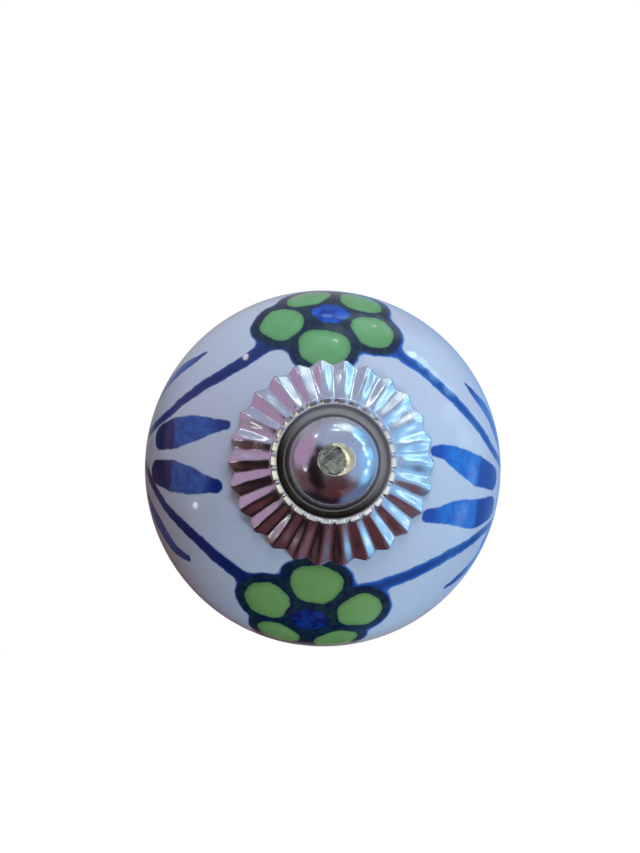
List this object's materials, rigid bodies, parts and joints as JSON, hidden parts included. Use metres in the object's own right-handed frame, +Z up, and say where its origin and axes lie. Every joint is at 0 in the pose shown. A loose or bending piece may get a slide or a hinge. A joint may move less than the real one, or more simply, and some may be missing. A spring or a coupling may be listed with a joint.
{
  "type": "cabinet knob",
  "caption": "Round glazed ceramic cabinet knob with painted flowers and leaves, a pleated chrome rosette and dome nut in front, and a threaded rod behind.",
  "frame": {"origin": "centre of the back plate's contact ring, on the cabinet front", "axes": "+Y along the knob's axis and the free rod, away from the hand; the knob's front faces -Y; +Z up with the painted flowers at top and bottom"},
  "size_m": [0.04, 0.071, 0.04],
  "materials": {
    "painted_glaze": "clear gloss over white ceramic with green and blue paint",
    "chrome_plate": "polished chrome plate on pressed steel",
    "zinc_plate": "bright zinc plate"
  },
  "bodies": {
    "root": {"ceramic_body": "painted_glaze", "front_rosette": "chrome_plate", "dome_nut": "chrome_plate", "threaded_rod": "zinc_plate", "back_plate": "chrome_plate", "retaining_washer": "zinc_plate", "retaining_nut": "zinc_plate"}
  },
  "joints": []
}
